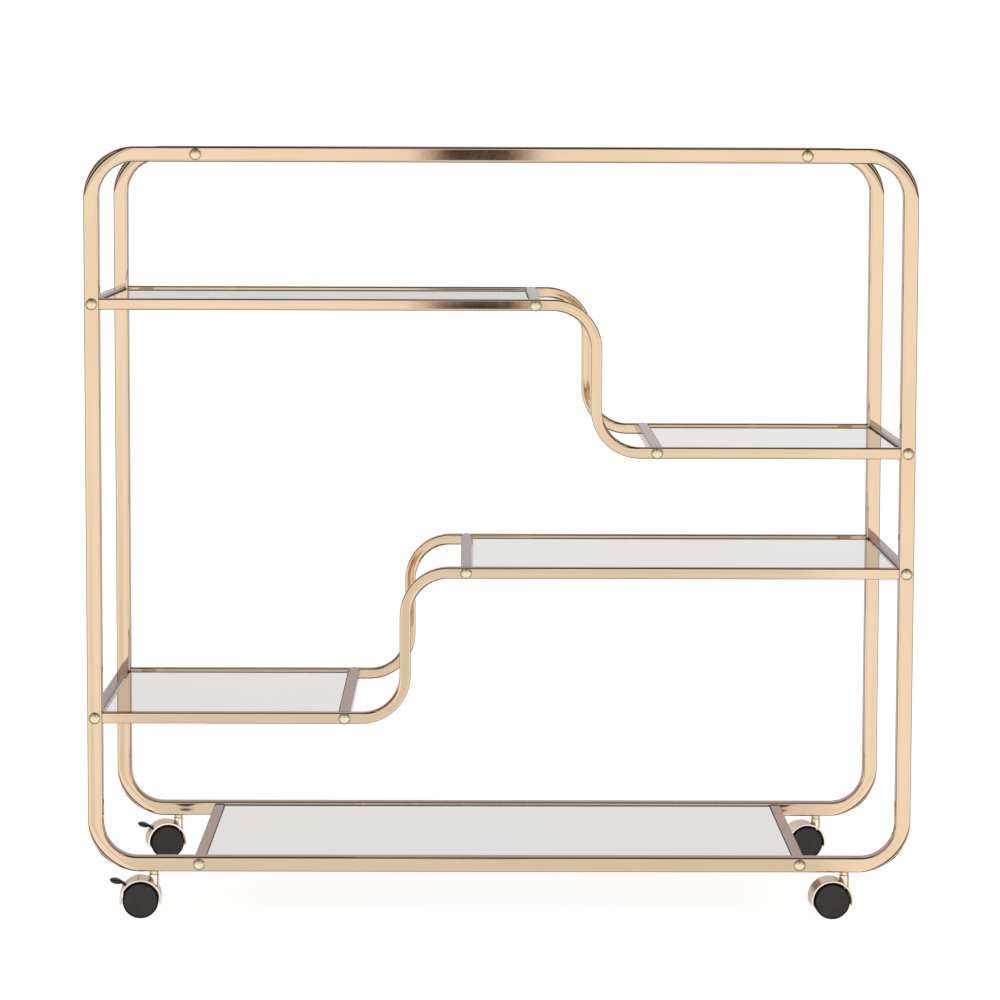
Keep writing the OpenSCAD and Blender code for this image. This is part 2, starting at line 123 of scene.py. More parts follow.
class CartCasterSettings(bpy.types.PropertyGroup):
    """Sizes of the casters that the frame's boxes don't give."""

    hood_wall: length("Hood wall", 0.002, "Thickness of the hood's shell")
    hood_gap: length("Hood gap", 0.0014, "Gap between a wheel and the hood")
    hood_half_width: length("Hood half width", 0.0155, "Half the hood's width")
    hood_end: angle("Hood end", 12, "How far the hood reaches below the axle")
    hood_bevel: length("Hood bevel", 0.0005, "Rounding of the hood's edges")
    slot_start: angle("Slot start", 131, "Where the brake's slot in the hood starts")
    slot_end: angle("Slot end", 152, "Where the brake's slot in the hood ends")
    slot_half_width: length("Slot half width", 0.0034, "Half the width of the brake's slot")
    braked_web_end: angle("Braked web end", 112, "Where the web stops for the brake")
    hub_bore: length("Hub bore", 0.0025, "Radius of the hub's hole for the axle")
    hub_radius: length("Hub radius", 0.005, "Radius of the hub round the axle")
    hub_half: length("Hub half length", 0.0053, "Half the length of the hub")
    hub_rounding: length("Hub rounding", 0.0004, "Rounding of the hub's ends")
    socket_radius: length("Socket radius", 0.0054, "Radius of the round stem socket")
    socket_floor: length("Socket floor", 0.02, "Height of the socket's underside")
    socket_rounding: length("Socket rounding", 0.0007, "Rounding of the socket's ends")
    bore_floor: length("Bore floor", 0.023, "Height of the bottom of the socket's hole")
    bore_room: length("Bore room", 0.00005, "Room between the stem and the socket's hole")
    ear_tip: length("Ear tip", 0.0029, "How far an ear reaches past the pin, and its half width")
    ear_reach: length("Ear reach", 0.0044, "How far an ear reaches from the pin to the shell")
    ear_root: length("Ear root", 0.0025, "Half the width of an ear at the shell")
    ear_round: length("Ear round", 0.0028, "Radius of an ear's corners at the pin")
    ear_inside: length("Ear inside", 0.0035, "Distance of an ear's inside from the middle")
    ear_outside: length("Ear outside", 0.0055, "Distance of an ear's outside from the middle")
    collar_radius: length("Collar radius", 0.0048, "Radius of a stem's collar")
    pin_radius: length("Pin radius", 0.003, "Radius of a stem's plain end")
    web_thickness: length("Web thickness", 0.0044, "Wall between the two wheels")
    rim_wall: length("Rim wall", 0.0026, "Thickness of a wheel's rim")
    plate_wall: length("Plate wall", 0.003, "Thickness of a wheel's outer plate")
    tread_edge: length("Tread edge", 0.0013, "Rounding of a wheel's outer edge")
    face_recess: length("Face recess", 0.0004, "Depth of the recess in a wheel's face")
    wheel_bore: length("Wheel bore", 0.00255, "Radius of a wheel's blind hole")
    bore_cover: length("Bore cover", 0.0032, "Thickness left over a wheel's blind hole")
    boss_radius: length("Boss radius", 0.005, "Radius of the boss inside a wheel")
    brake_hub_bore: length("Brake hub bore", 0.00125, "Radius of a lever's hole for its pin")
    brake_hub_radius: length("Brake hub radius", 0.0032, "Radius of a lever's hub")
    shoe_reach: length("Shoe reach", 0.006, "Distance of the brake shoe from the pin")
    shoe_radius: length("Shoe radius", 0.0012, "Radius of the brake shoe")
    shoe_half: length("Shoe half length", 0.0095, "Half the length of the brake shoe")
    arm_length: length("Arm length", 0.0092, "Distance from the pin to the arm's knee")
    arm_angle: angle("Arm angle", 137, "Direction in which the arm leaves the pin")
    paddle_angle: angle("Paddle angle", 167, "Direction of the paddle")
    knee_radius: length("Knee radius", 0.006, "Radius of the bend between arm and paddle")
    arm_half_width: length("Arm half width", 0.003, "Half the width of the arm")
    paddle_half_width: length("Paddle half width", 0.0078, "Half the width of a brake paddle")
    paddle_length: length("Paddle length", 0.0135, "Length of a brake paddle")
    paddle_crown: length("Paddle crown", 0.0028, "Height of a paddle's top and bottom crowns")
    arm_half_thickness: length("Arm half thickness", 0.0016, "Half the thickness of the arm")
    tip_half_width: length("Tip half width", 0.0018, "Half the width of the paddle's tip")
    tip_half_thickness: length("Tip half thickness", 0.0005, "Half the tip's thickness")


class CartFinishSettings(bpy.types.PropertyGroup):
    """Colours of the finishes."""

    plated_gold: colour("Plated gold", (0.78, 0.61, 0.44), "Champagne plating of the tubes")
    grazing_grey: colour("Grazing grey", (0.54, 0.50, 0.55), "Plating seen along its surface")
    bolt_gold: colour("Bolt gold", (0.90, 0.79, 0.56), "Pale plating of bolts and stems")
    hood_gold: colour("Hood gold", (0.92, 0.82, 0.72), "Plating of the casters' hoods")
    hood_grazing: colour("Hood grazing", (0.66, 0.58, 0.53), "Hoods seen along their surface")
    zinc: colour("Zinc", (0.62, 0.63, 0.65), "Bright zinc of the hidden hardware")
    mirror_silver: colour("Mirror silver", (0.80, 0.81, 0.82), "Silvering of the mirrors")
    glass_edge: colour("Glass edge", (0.42, 0.50, 0.47), "Ground edge of the mirrors")
    mirror_backing: colour("Mirror backing", (0.20, 0.21, 0.22), "Paint behind the mirrors")
    clear_pad: colour("Clear pad", (0.80, 0.82, 0.82), "Soft pads under the mirrors")
    wheel_black: colour("Wheel black", (0.012, 0.0095, 0.009), "Faces of the wheels")
    tread_black_painted_shade: colour("Tread black", (0.002, 0.002, 0.002), "Treads of the wheels")
    # The treads' near black is painted shade: it stands for the shade in the gap under the hood
    # and on the tread's rounding that faces down.
    lever_black: colour("Lever black", (0.012, 0.011, 0.012), "Moulded brake levers")
    floor: colour("Floor", (0.20, 0.20, 0.20), "Light table's sheet")


class CartStageSettings(bpy.types.PropertyGroup):
    """Camera and light."""

    camera_place: FloatVectorProperty(name="Camera place", subtype="TRANSLATION", size=3,
                                      default=(-0.0310, -3.9748, 0.8204),
                                      description="Where the camera stands")
    camera_turn: angle("Camera turn", 0.457, "Turn to the right")
    camera_pitch: angle("Camera pitch", 5.640, "Tilt down")
    camera_roll: angle("Camera roll", 0.180, "Roll about the line of sight")
    lens: FloatProperty(name="Lens", default=131.34, min=10, description="Focal length, mm")
    sensor: FloatProperty(name="Sensor", default=36.0, min=1, description="Sensor width, mm")
    floor_half_size: length("Floor half size", 9.0, "Half the width of the floor")
    fill_strength: FloatProperty(name="Fill strength", default=1.12, min=0,
                                 description="Brightness of the even light all round")
    table_glow: FloatProperty(name="Table glow", default=0.92, min=0,
                              description="Brightness of the light table's own glow")


SETTINGS = {
    "cart_tubes": CartTubeSettings,
    "cart_fittings": CartFittingSettings,
    "cart_casters": CartCasterSettings,
    "cart_finishes": CartFinishSettings,
    "cart_stage": CartStageSettings,
}


# ---- Places read from the frame ----

def node_box(node):
    """Lowest and highest corner of a CAD node, as arrays."""
    low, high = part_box(node)
    return np.array(low), np.array(high)


def joint_named(name):
    """The record's joint with that name."""
    return next(j for j in frame["joints"] if j["name"] == name)


def joint_place(name):
    """Where the named joint turns."""
    return np.array(joint_named(name)["pos_m"])


class CasterPlace:
    """Where a caster stands: its stem's foot on the floor, its own axes (x away from the
    wheels, y along the axle, z up), its trail and its wheels' radius, all read from the
    joints and boxes."""

    def __init__(self, caster):
        stem = joint_place(f"{caster}_swivel_turn")
        wheel = f"{caster}_back_wheel_roll"
        self.foot = np.array([stem[0], stem[1], 0.0])
        self.y = np.array(joint_named(wheel)["axis"])
        self.z = np.array([0.0, 0.0, 1.0])
        self.x = np.cross(self.y, self.z)
        axle = joint_place(wheel)
        self.trail = float((self.foot - axle) @ self.x)
        self.wheel_radius = float(axle[2])
        self.axle = self.foot - self.trail * self.x + self.wheel_radius * self.z

    def put(self, points, origin=None):
        """World points of local ones: origin plus each coordinate along its own axis."""
        points = np.asarray(points, float)
        base = self.foot if origin is None else origin
        return base + points @ np.vstack([self.x, self.y, self.z])

    def across_axle(self, origin):
        """Function that puts (x, height, thickness) rows in the wheels' plane."""
        return lambda rows: self.put(rows[..., [0, 2, 1]], origin)

    def half_extent(self, node):
        """Half the width along the axle of a node that is a round disc about it: the
        depth of its box along Y, less what the turned disc adds, over the axis's Y."""
        low, high = node_box(node)
        turned = 2 * self.wheel_radius * abs(self.y[0])
        return (high[1] - low[1] - turned) / (2 * abs(self.y[1]))


# ---- Surfaces ----

class Surface:
    """Part of a piece: its points, its faces as arrays with one row a face, and one
    material number for each array."""

    def __init__(self, points, faces, materials=0):
        self.points = np.asarray(points, float).reshape(-1, 3)
        self.faces = [np.asarray(f) for f in faces]
        self.materials = [materials] * len(faces) if isinstance(materials, int) else materials

    def volume(self):
        """Signed volume: a sixth of the sum, over each face's fan of triangles from its
        first corner, of corner . (next corner x the one after)."""
        total = 0.0
        for face in self.faces:
            corner = self.points[face]
            fan = np.cross(corner[:, 1:-1], corner[:, 2:])
            total += float(np.sum(corner[:, :1] * fan)) / 6
        return total

    def facing_out(self):
        """The same surface, with its faces turned round if its volume is negative."""
        if self.volume() < 0:
            self.faces = [face[:, ::-1] for face in self.faces]
        return self

    def facing(self, way):
        """Turns an open surface's faces round if its first face looks away from a way."""
        corner = self.points[self.faces[0][0]]
        if np.cross(corner[1] - corner[0], corner[2] - corner[0]) @ way < 0:
            self.faces = [face[:, ::-1] for face in self.faces]


def grid(points, close_rows=False, close_columns=False, caps=False, materials=0):
    """Quads between neighbours in a rows by columns grid of points. A closed direction
    joins its last line to its first. Caps close the first and the last row with one flat
    face each."""
    rows, columns = points.shape[:2]
    index = np.arange(rows * columns).reshape(rows, columns)
    if close_rows:
        index = np.vstack([index, index[:1]])
    if close_columns:
        index = np.hstack([index, index[:, :1]])
    quads = np.stack([index[:-1, :-1], index[:-1, 1:], index[1:, 1:], index[1:, :-1]], axis=-1)
    faces = [quads.reshape(-1, 4)]
    if caps:
        faces += [index[:1, :columns][:, ::-1], index[-1:, :columns]]
    return Surface(points, faces, materials)


def mesh_from(name, surfaces):
    """One mesh of several surfaces, put in with foreach_set, poles merged, arcs smooth and
    corners sharp."""
    points = np.vstack([s.points for s in surfaces])
    starts = np.cumsum([0] + [len(s.points) for s in surfaces])
    blocks = [(face + start, material) for s, start in zip(surfaces, starts)
              for face, material in zip(s.faces, s.materials)]
    loops = np.concatenate([face.ravel() for face, _ in blocks])
    totals = np.concatenate([np.full(len(face), face.shape[1]) for face, _ in blocks])
    materials = np.concatenate([np.full(len(face), material) for face, material in blocks])
    mesh = bpy.data.meshes.new(name)
    mesh.vertices.add(len(points))
    mesh.vertices.foreach_set("co", points.ravel())
    mesh.loops.add(len(loops))
    mesh.loops.foreach_set("vertex_index", loops.astype(np.int32))
    mesh.polygons.add(len(totals))
    mesh.polygons.foreach_set("loop_start", (np.cumsum(totals) - totals).astype(np.int32))
    mesh.polygons.foreach_set("material_index", materials.astype(np.int32))
    mesh.polygons.foreach_set("use_smooth", np.ones(len(totals), bool))
    mesh.update(calc_edges=True)
    work = bmesh.new()
    work.from_mesh(mesh)
    bmesh.ops.remove_doubles(work, verts=work.verts, dist=MERGE_DISTANCE)
    work.to_mesh(mesh)
    work.free()
    mesh.set_sharp_from_angle(angle=SHARP_ANGLE)
    return mesh


def add_piece(name, surfaces, slot, nodes, body="root"):
    """Makes a piece of surfaces, with its slot's finishes, on a body, standing for CAD
    nodes."""
    piece = bpy.data.objects.new(name, mesh_from(name, surfaces))
    bpy.context.scene.collection.objects.link(piece)
    for finish_name in SLOT_FINISHES[slot]:
        piece.data.materials.append(finish(finish_name))
    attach(piece, body)
    if nodes:
        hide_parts(*nodes)
    return piece


def bent_path(corners, radii, steps, lead=0.0, closed=False):
    """Points, left-hand normals and bends along straight runs joined by round corners. A
    corner's arc starts its radius times the tangent of half its turn before the corner,
    and its points are its centre less the radius times a normal that turns evenly. A
    point's bend is the sine of pi times its place on its arc, below zero where the path
    turns right. A lead adds a point just outside each end of an arc. A corner of no
    radius stays a point."""
    corners = np.asarray(corners, float)
    count = len(corners)
    radii = np.broadcast_to(radii, count)
    points, normals, bends = [], [], []
    for i, corner in enumerate(corners):
        ahead = corners[(i + 1) % count] - corner
        behind = corner - corners[i - 1]
        after = ahead / np.hypot(*ahead)
        before = behind / np.hypot(*behind)
        if not closed and i in (0, count - 1):
            before = after = after if i == 0 else before
        left = np.array([-before[1], before[0]])
        if radii[i] == 0 or before is after:
            points.append(corner[None])
            normals.append(left[None])
            bends.append([0.0])
            continue
        turn = math.atan2(before[0] * after[1] - before[1] * after[0], before @ after)
        side = math.copysign(1, turn)
        start = corner - radii[i] * math.tan(abs(turn) / 2) * before
        centre = start + side * radii[i] * left
        angle = np.linspace(0, turn, steps + 1)[:, None]
        lefts = np.cos(angle) * left - np.sin(angle) * before
        arc = centre - side * radii[i] * lefts
        bend = side * np.sin(np.linspace(0, math.pi, steps + 1))
        if lead:
            arc = np.vstack([arc[0] - lead * before, arc, arc[-1] + lead * after])
            lefts = np.vstack([lefts[:1], lefts, lefts[-1:]])
            bend = np.pad(bend, 1)
        points.append(arc)
        normals.append(lefts)
        bends.append(bend)
    return np.vstack(points), np.vstack(normals), np.concatenate(bends)


def square_profile(size, radii, steps, dish):
    """Outline of a square tube, anticlockwise from its lower right corner: a quarter
    circle at each corner, and between them flats that sink by the dish times the square of
    the sine of their place."""
    half = size / 2
    signs = np.array([(1, -1), (1, 1), (-1, 1), (-1, -1)])
    centres = signs * (half - np.array(radii)[:, None])
    place = np.array([0, 0.2, 0.4, 0.5, 0.6, 0.8, 1])[:, None]
    outline = []
    for i, radius in enumerate(radii):
        angle = math.radians(90 * i - 90) + np.linspace(0, math.pi / 2, steps + 1)
        arc = centres[i] + radius * np.column_stack([np.cos(angle), np.sin(angle)])
        facing = np.array([math.cos(angle[-1]), math.sin(angle[-1])])
        after = centres[(i + 1) % 4] + radii[(i + 1) % 4] * facing
        along = (after - arc[-1]) / np.linalg.norm(after - arc[-1])
        start, end = arc[-1] + FLAT_LEAD * along, after - FLAT_LEAD * along
        sunk = dish * np.sin(math.pi * place) ** 2 * facing
        outline += [arc, start + place * (end - start) - sunk]
    return np.vstack(outline)


def upright_tube(path, y, size, edge, inner_edge, outer_edge, steps, dish, closed=False):
    """Square tube along a path in an upright plane: path point plus a times the path's
    normal, and y plus b, for each point (a, b) of the profile. Its edges on the inside and
    the outside of a bend change from the edge radius to their own, in proportion to the
    bend, because the wall is squeezed and stretched there."""
    points, normals, bends = path
    even = square_profile(size, [edge] * 4, steps, dish)
    left_turn = square_profile(size, [inner_edge] * 2 + [outer_edge] * 2, steps, dish)
    right_turn = square_profile(size, [outer_edge] * 2 + [inner_edge] * 2, steps, dish)
    profile = (even + np.maximum(bends, 0)[:, None, None] * (left_turn - even)
               + np.maximum(-bends, 0)[:, None, None] * (right_turn - even))
    flat = points[:, None, :] + profile[..., :1] * normals[:, None, :]
    rows = np.stack([flat[..., 0], y + profile[..., 1], flat[..., 1]], axis=-1)
    return grid(rows, close_rows=closed, close_columns=True, caps=not closed).facing_out()


def turned(profile, steps, origin, axes, materials=0, closed=False):
    """A profile (radius, height) turned round an axis: origin plus radius times (cos, sin)
    along the first two axes plus height along the third. A closed profile makes a ring."""
    angle = np.linspace(0, 2 * math.pi, steps, endpoint=False)
    across = np.cos(angle)[:, None] * axes[0] + np.sin(angle)[:, None] * axes[1]
    rows = origin + profile[:, None, :1] * across + profile[:, None, 1:] * np.asarray(axes[2])
    return grid(rows, close_rows=closed, close_columns=True, materials=materials).facing_out()


def sleeve(bore, radius, half, rounding, steps):
    """Closed profile of a sleeve about its axis, with its outer ends rounded."""
    corners = [(bore, -half), (radius, -half), (radius, half), (bore, half)]
    return bent_path(corners, [0, rounding, rounding, 0], steps, closed=True)[0]


def plate(corners, radii, steps, low, high, bevel, place, materials=0):
    """Flat plate: an anticlockwise outline with rounded corners at four heights, drawn in
    by the bevel at the lowest and the highest, and closed by flat faces."""
    points, normals, _ = bent_path(corners, radii, steps, closed=True)
    layers = ((low, bevel), (low + bevel, 0), (high - bevel, 0), (high, bevel))
    rows = [np.column_stack([points + inset * normals, np.full(len(points), height)])
            for height, inset in layers]
    return grid(place(np.array(rows)), close_columns=True, caps=True,
                materials=materials).facing_out()


def rectangle(x0, x1, y0, y1):
    """Corners of a rectangle, anticlockwise."""
    return [(x0, y0), (x1, y0), (x1, y1), (x0, y1)]


# ---- Materials ----

class Nodes:
    """A node tree, with short ways to add and join its nodes. Its noises are worked out
    from the named texture coordinates."""

    def __init__(self, tree, coordinates):
        self.tree = tree
        self.place = self.add("ShaderNodeTexCoord").outputs[coordinates]

    def put(self, socket, value):
        """Joins an output to an input, or sets the input to a value."""
        if isinstance(value, bpy.types.NodeSocket):
            self.tree.links.new(value, socket)
        else:
            socket.default_value = value

    def add(self, kind, **values):
        """Adds a node and fills its inputs by name."""
        node = self.tree.nodes.new(kind)
        for name, value in values.items():
            self.put(node.inputs[name], value)
        return node

    def noise(self, scale, detail, stretch=None):
        """Noise on the coordinates. Stretch scales them along X, Y and Z."""
        place = self.place
        if stretch:
            place = self.add("ShaderNodeMapping", Vector=place, Scale=stretch).outputs[0]
        node = self.add("ShaderNodeTexNoise", Vector=place, Scale=scale, Detail=detail)
        return node.outputs["Fac"]

    def fade(self, source, start, end, low=0.0, high=1.0, kind="SMOOTHSTEP"):
        """Change from low to high as the source goes from start to end."""
        node = self.add("ShaderNodeMapRange")
        node.interpolation_type = kind
        for socket, value in zip(node.inputs, (source, start, end, low, high)):
            self.put(socket, value)
        return node.outputs[0]

    def spread(self, source, low, high):
        """Even change from low to high over the middle of a noise."""
        return self.fade(source, 0.3, 0.7, low, high, "LINEAR")

    def mix(self, kind, *sources):
        """Number or colour between a first and a second one, by a factor."""
        node = self.add("ShaderNodeMix")
        node.data_type = kind
        *slots, result = MIX_SOCKETS[kind]
        for slot, source in zip(slots, sources):
            self.put(node.inputs[slot], source)
        return node.outputs[result]


# Each finish has the colour it starts from and noises for its tone, gloss and relief, given
# as scale, detail and sometimes stretch. Its tone drifts from the colour to the colour times
# the shade, and its roughness through the range of rough. Bump is the relief's strength and
# distance. Metal seen along its surface turns to the grazing colour. Values are set as they
# are on the shader.
METAL = {"Metallic": 1.0}
PLATING = {"tone": (7.0, 4.0), "shade": (0.97, 0.95, 0.91), "gloss": (38.0, 5.0),
           "relief": (55.0, 2.0), "bump": (0.04, 0.0004), "values": METAL}
MOULDED = {"tone": (90.0, 5.0), "shade": (1.5, 1.5, 1.5), "gloss": (140.0, 6.0),
           "relief": (2600.0, 2.0)}
FINISHES = {
    # Polished plating: faint drifts of tone, hazy patches and the polishing wheel's ripple.
    "tube_plating": {**PLATING, "colour": "plated_gold", "rough": (0.03, 0.055),
                     "bump": (0.015, 0.0004), "grazing": "grazing_grey"},
    "bolt_plating": {**PLATING, "colour": "bolt_gold", "rough": (0.30, 0.40),
                     "grazing": "grazing_grey"},
    "hood_plating": {**PLATING, "colour": "hood_gold", "rough": (0.14, 0.24),
                     "grazing": "hood_grazing"},
    # Silvered glass: a bright mirror with faint wiping haze.
    "mirror_silver": {"colour": "mirror_silver", "tone": (3.0, 3.0),
                      "shade": (0.985, 0.985, 0.98), "gloss": (9.0, 6.0, (1.0, 3.0, 1.0)),
                      "rough": (0.012, 0.045), "values": METAL},
    # Ground glass edge: dull, slightly green and finely frosted.
    "mirror_ground_edge": {"colour": "glass_edge", "tone": (220.0, 4.0),
                           "shade": (0.8, 0.85, 0.82), "gloss": (600.0, 3.0),
                           "rough": (0.35, 0.5), "relief": (1800.0, 3.0),
                           "bump": (0.15, 0.0001)},
    # Sprayed backing paint with a little orange peel.
    "mirror_backing_paint": {"colour": "mirror_backing", "tone": (12.0, 5.0),
                             "shade": (0.85, 0.85, 0.86), "gloss": (60.0, 3.0),
                             "rough": (0.5, 0.65), "relief": (420.0, 3.0),
                             "bump": (0.2, 0.0002)},
    # Soft clear pad, slightly cloudy.
    "clear_soft_pad": {"colour": "clear_pad", "tone": (300.0, 3.0),
                       "shade": (0.95, 0.96, 0.96), "gloss": (500.0, 3.0),
                       "rough": (0.22, 0.35), "values": {"Transmission Weight": 0.6}},
    # Moulded plastic: a fine sparked grain, and scuffs that change its gloss.
    "wheel_nylon": {**MOULDED, "colour": "wheel_black", "rough": (0.42, 0.55),
                    "bump": (0.25, 0.00008), "values": {"Specular IOR Level": 0.42}},
    # The tread's darker colour is painted shade, of the gap under the hood and of the rounding
    # that faces down.
    "wheel_tread": {**MOULDED, "colour": "tread_black_painted_shade", "rough": (0.5, 0.65),
                    "bump": (0.1, 0.00008), "values": {"Specular IOR Level": 0.12}},
    "lever_plastic": {**MOULDED, "colour": "lever_black", "rough": (0.40, 0.52),
                      "bump": (0.1, 0.00008)},
    # Bright zinc on turned and pressed steel, with fine tool lines.
    "bright_zinc": {"colour": "zinc", "tone": (60.0, 4.0), "shade": (0.86, 0.87, 0.9),
                    "gloss": (180.0, 5.0), "rough": (0.22, 0.4),
                    "relief": (900.0, 2.0, (1.0, 1.0, 6.0)), "bump": (0.12, 0.0001),
                    "values": METAL},
    # Pale matt sheet of the light table.
    "light_table_sheet": {"colour": "floor", "tone": (0.8, 2.0), "shade": (0.98, 0.98, 0.98),
                          "values": {"Roughness": 0.9, "Specular IOR Level": 0.1}},
}

SLOT_FINISHES = {
    "plated_gold": ["tube_plating"],
    "bolt_gold": ["bolt_plating"],
    "hood_gold": ["hood_plating"],
    "mirror_glass": ["mirror_ground_edge", "mirror_backing_paint", "mirror_silver"],
    "clear_pad": ["clear_soft_pad"],
    "wheel_black": ["wheel_nylon", "wheel_tread"],
    "lever_black": ["lever_plastic"],
}


def finish(name):
    """The named finish's material, made on first use."""
    found = bpy.data.materials.get(name)
    if found:
        return found
    recipe = FINISHES[name]
    colours = bpy.context.scene.cart_finishes
    material = bpy.data.materials.new(name)
    material.use_nodes = True
    n = Nodes(material.node_tree, "Object")
    inputs = n.tree.nodes["Principled BSDF"].inputs
    base = getattr(colours, recipe["colour"])
    dark = [b * s for b, s in zip(base, recipe["shade"])]
    drift = n.spread(n.noise(*recipe["tone"]), 0.0, 1.0)
    n.put(inputs["Base Color"], n.mix("RGBA", drift, (*base, 1), (*dark, 1)))
    if "gloss" in recipe:
        n.put(inputs["Roughness"], n.spread(n.noise(*recipe["gloss"]), *recipe["rough"]))
    if "relief" in recipe:
        strength, distance = recipe["bump"]
        relief = n.add("ShaderNodeBump", Height=n.noise(*recipe["relief"]),
                       Strength=strength, Distance=distance)
        n.put(inputs["Normal"], relief.outputs[0])
    if "grazing" in recipe:
        n.put(inputs["Specular Tint"], (*getattr(colours, recipe["grazing"]), 1))
    for name, value in recipe.get("values", {}).items():
        n.put(inputs[name], value)
    return material


# ---- Pieces ----

class CART_OT_hoops(bpy.types.Operator):
    """Front and back hoops: one square tube bent round a rounded rectangle"""

    bl_idname = "cart.hoops"
    bl_label = "Hoops"

    def execute(self, context):
        tubes = context.scene.cart_tubes
        for side, _ in SIDES:
            low, high = node_box(f"{side}_hoop")
            size = high[1] - low[1]
            inset = size / 2
            corners = rectangle(low[0] + inset, high[0] - inset, low[2] + inset,
                                high[2] - inset)
            path = bent_path(corners, tubes.hoop_corner_radius - inset, tubes.bend_steps,
                             FLAT_LEAD, closed=True)
            edge = tubes.hoop_edge_radius
            tube = upright_tube(path, (low[1] + high[1]) / 2, size, edge, edge,
                                tubes.hoop_bend_edge, tubes.edge_steps, tubes.dish,
                                closed=True)
            add_piece(f"{side}_hoop_tube", [tube], "plated_gold", [f"{side}_hoop"])
        return {"FINISHED"}


class CART_OT_step_rails(bpy.types.Operator):
    """Stepped rails: level, bend, vertical run, bend, level"""

    bl_idname = "cart.step_rails"
    bl_label = "Step rails"

    def execute(self, context):
        tubes = context.scene.cart_tubes
        for side, _ in SIDES:
            for tier, sign in (("upper", 1), ("lower", -1)):
                node = f"{side}_{tier}_step_rail"
                low, high = node_box(node)
                size = high[1] - low[1]
                levels = (high[2] - size / 2, low[2] + size / 2)[::sign]
                step_x = sign * tubes.step_offset
                corners = [(low[0], levels[0]), (step_x, levels[0]),
                           (step_x, levels[1]), (high[0], levels[1])]
                path = bent_path(corners, tubes.step_bend_radius, tubes.bend_steps,
                                 FLAT_LEAD)
                edge = tubes.rail_edge_radius
                tube = upright_tube(path, (low[1] + high[1]) / 2, size, edge,
                                    tubes.rail_bend_edge, edge, tubes.edge_steps,
                                    tubes.dish)
                add_piece(f"{node}_tube", [tube], "plated_gold", [node])
        return {"FINISHED"}


def crossbar_nodes():
    """Names of the crossbars' CAD nodes."""
    return sorted(n for n in frame["nodes"] if n.endswith("_crossbar"))


class CART_OT_crossbars(bpy.types.Operator):
    """Crossbars: straight square tubes from the front side to the back side"""

    bl_idname = "cart.crossbars"
    bl_label = "Crossbars"

    def execute(self, context):
        tubes = context.scene.cart_tubes
        for node in crossbar_nodes():
            low, high = node_box(node)
            size = high[0] - low[0]
            middle = (low + high) / 2
            profile = square_profile(size, [tubes.rail_edge_radius] * 4, tubes.edge_steps,
                                     tubes.dish)
            ends = np.array([low[1], high[1]])
            rows = np.empty((2, len(profile), 3))
            rows[..., 0] = middle[0] + profile[:, 0]
            rows[..., 1] = ends[:, None]
            rows[..., 2] = middle[2] + profile[:, 1]
            tube = grid(rows, close_columns=True, caps=True).facing_out()
            add_piece(f"{node}_tube", [tube], "plated_gold", [node])
        return {"FINISHED"}


def cap_profile(fittings, shank):
    """Profile of a cap bolt, (radius, height) from the tip of its dome to the end of its
    shank. The dome is a spherical cap of radius (r^2 + h^2) / 2h on a short rim."""
    r, rim = fittings.cap_radius, fittings.cap_rim
    rise = fittings.cap_height - rim
    ball = (r * r + rise * rise) / (2 * rise)
    angle = np.linspace(0, math.asin(r / ball), 14)
    dome = np.column_stack([ball * np.sin(angle), fittings.cap_height - ball
                            + ball * np.cos(angle)])
    rest = bent_path([(r, rim), (r, 0), (fittings.bolt_radius, 0),
                      (fittings.bolt_radius, -shank), (0, -shank)],
                     [0, rim / 4, 0, fittings.bolt_radius / 6, 0], 3)[0]
    return np.vstack([dome, rest[1:]])


class CART_OT_cap_bolts(bpy.types.Operator):
    """Domed cap bolts, one at each end of each crossbar"""

    bl_idname = "cart.cap_bolts"
    bl_label = "Cap bolts"

    def execute(self, context):
        fittings = context.scene.cart_fittings
        for side, sign in SIDES:
            hoop_low, hoop_high = node_box(f"{side}_hoop")
            middle_y = (hoop_low[1] + hoop_high[1]) / 2
            node = f"{side}_cap_bolts"
            bolt_low, bolt_high = node_box(node)
            reach = min(abs(bolt_low[1]), abs(bolt_high[1]))
            bolts = []
            for bar in crossbar_nodes():
                low, high = node_box(bar)
                end = low[1] if sign < 0 else high[1]
                seat = 2 * middle_y - end
                profile = cap_profile(fittings, abs(seat) - reach)
                origin = np.array([(low[0] + high[0]) / 2, seat, (low[2] + high[2]) / 2])
                axes = np.array([[1.0, 0, 0], [0, 0, 1.0], [0, sign, 0]])
                bolts.append(turned(profile, 48, origin, axes))
            add_piece(f"{side}_bolts", bolts, "bolt_gold", [node])
        return {"FINISHED"}


class CART_OT_mirrors(bpy.types.Operator):
    """Mirror panels with ground edges and painted backs"""

    bl_idname = "cart.mirrors"
    bl_label = "Mirrors"

    def execute(self, context):
        fittings = context.scene.cart_fittings
        for shelf in SHELVES + ("bottom",):
            low, high = node_box(f"{shelf}_mirror")
            panel = plate(rectangle(low[0], high[0], low[1], high[1]),
                          fittings.mirror_corner, 5, low[2], high[2],
                          fittings.mirror_arris, lambda rows: rows, [0, 1, 2])
            add_piece(f"{shelf}_mirror_panel", [panel], "mirror_glass", [f"{shelf}_mirror"])
        return {"FINISHED"}


def node_islands(node):
    """Boxes of a node's separate solids. Vertices are grouped along X, where the solids
    of a shelf's lugs stand apart, and split into front and back by the sign of Y."""
    points = np.array([v.co[:] for v in frame["nodes"][node].data.vertices])
    boxes = []
    for side in (-1, 1):
        half = points[np.sign(points[:, 1]) == side]
        half = half[np.argsort(half[:, 0])]
        gaps = np.flatnonzero(np.diff(half[:, 0]) > SOLID_GAP) + 1
        boxes += [(p.min(0), p.max(0)) for p in np.split(half, gaps)]
    return boxes


